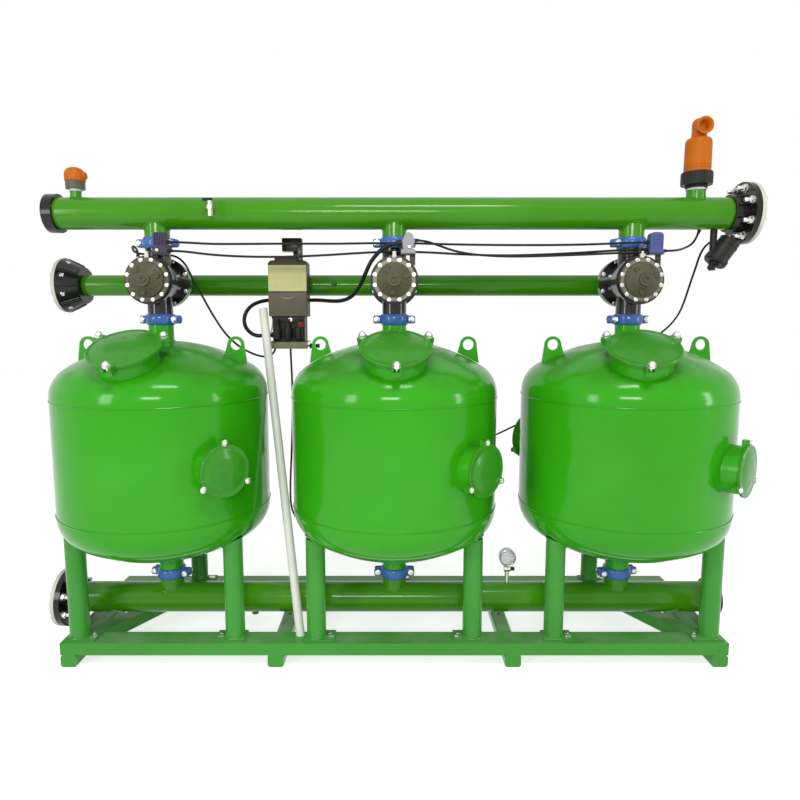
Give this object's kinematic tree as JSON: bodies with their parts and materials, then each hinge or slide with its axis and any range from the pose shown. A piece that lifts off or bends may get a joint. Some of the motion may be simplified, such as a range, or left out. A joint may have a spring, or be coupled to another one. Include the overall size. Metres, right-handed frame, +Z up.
{
  "type": "sand media filter",
  "caption": "Three-tank sand media filter with backwash valves, inlet, outlet and flush manifolds, controller, gauge and skid base.",
  "frame": {"origin": "centre of the base's anchor hole pattern on the floor, below the middle tank's axis", "axes": "+X along the row of tanks to the inlet's end, -Y to the front with the hatches, +Z up"},
  "size_m": [2.658, 0.848, 1.956],
  "materials": {
    "tank_green": "gloss",
    "frame_green": "gloss",
    "coupling_blue": "gloss",
    "knob_black": "matte",
    "pipe_green": "gloss",
    "lid_green": "painted gloss",
    "zinc": "zinc plated",
    "steel_inner": "plain",
    "sand": "loose",
    "valve_black": "gloss",
    "bonnet_olive": "satin",
    "brass": "satin",
    "seal_rubber": "matte",
    "relay_grey": "satin",
    "bracket_olive": "satin",
    "cap_black": "painted satin",
    "ivory_plastic": "satin",
    "black_plastic": "satin",
    "orange_plastic": "satin",
    "float_white": "matte",
    "grey_plastic": "satin",
    "case_grey": "satin",
    "case_beige": "satin",
    "gauge_black": "satin",
    "pvc_white": "gloss",
    "tube_black": "satin",
    "hose_white": "satin"
  },
  "bodies": {
    "frame": {"tank_left": "tank_green", "tank_middle": "tank_green", "tank_right": "tank_green", "lifting_eyes": "tank_green", "tank_legs": "frame_green", "base_rails": "frame_green", "base_cross_members": "frame_green", "base_sleepers": "frame_green", "sleeper_plugs": "frame_green", "coupling_halves": "coupling_blue", "inlet_manifold": "pipe_green", "outlet_manifold": "pipe_green", "flush_manifold": "pipe_green", "top_hatch_lids": "lid_green", "side_hatch_lids": "lid_green", "leg_bolts": "zinc", "hatch_bolts": "zinc", "coupling_bolts": "zinc", "bonnet_bolts": "zinc", "flange_bolts": "zinc", "nozzle_plates": "steel_inner", "diffusers": "steel_inner", "sand_beds": "sand", "valve_bodies": "valve_black", "valve_bonnets": "bonnet_olive", "gauge_cock": "brass", "sampling_tap": "brass", "valve_relays": "relay_grey", "relay_brackets": "bracket_olive", "controller_bracket": "bracket_olive", "end_collars": "cap_black", "flange_adapters": "cap_black", "end_caps": "cap_black", "counter_flanges": "ivory_plastic", "air_valve_base": "black_plastic", "command_filter": "black_plastic", "solenoid_block": "black_plastic", "air_valve_body": "orange_plastic", "small_air_valve_cap": "orange_plastic", "small_air_valve_base": "grey_plastic", "controller_cover": "grey_plastic", "controller_case": "case_grey", "gauge_case": "gauge_black", "drain_pipe": "pvc_white", "tube_upper_run": "tube_black", "tube_lower_run": "tube_black", "tube_middle_relay": "tube_black", "tube_right_relay": "tube_black", "tube_supply": "tube_black", "tube_left_valve": "tube_black", "cable_conduit": "tube_black", "drain_hose": "hose_white"},
    "valve_plunger_left": {"valve_plunger_left": "seal_rubber"},
    "valve_plunger_middle": {"valve_plunger_middle": "seal_rubber"},
    "valve_plunger_right": {"valve_plunger_right": "seal_rubber"},
    "air_valve_float": {"air_valve_float": "float_white"},
    "gauge_needle": {"gauge_needle": "gauge_black"},
    "gauge_knob": {"gauge_knob": "knob_black"},
    "tap_handle": {"tap_handle": "knob_black"},
    "controller_door": {"controller_door": "case_beige"}
  },
  "joints": [
    {"name": "plunger_left", "type": "slide", "parent": "frame", "child": "valve_plunger_left", "axis": [0, 1, 0], "range_m": [0, 0.03]},
    {"name": "plunger_middle", "type": "slide", "parent": "frame", "child": "valve_plunger_middle", "axis": [0, 1, 0], "range_m": [0, 0.03]},
    {"name": "plunger_right", "type": "slide", "parent": "frame", "child": "valve_plunger_right", "axis": [0, 1, 0], "range_m": [0, 0.03]},
    {"name": "air_float", "type": "slide", "parent": "frame", "child": "air_valve_float", "axis": [0, 0, 1], "range_m": [0, 0.012]},
    {"name": "gauge_needle_turn", "type": "hinge", "parent": "frame", "child": "gauge_needle", "pos_m": [0.438, -0.006, 0.328], "axis": [0, 1, 0], "range_deg": [-180, 90]},
    {"name": "gauge_cock_turn", "type": "hinge", "parent": "frame", "child": "gauge_knob", "pos_m": [0.458, 0, 0.28], "axis": [1, 0, 0], "range_deg": [0, 90]},
    {"name": "tap_turn", "type": "hinge", "parent": "frame", "child": "tap_handle", "pos_m": [-0.643, -0.09015, 1.655], "axis": [0, 0, 1], "range_deg": [0, 90]},
    {"name": "door_hinge", "type": "hinge", "parent": "frame", "child": "controller_door", "pos_m": [-0.413, 0.118, 1.478], "axis": [-1, 0, 0], "range_deg": [0, 100]}
  ]
}
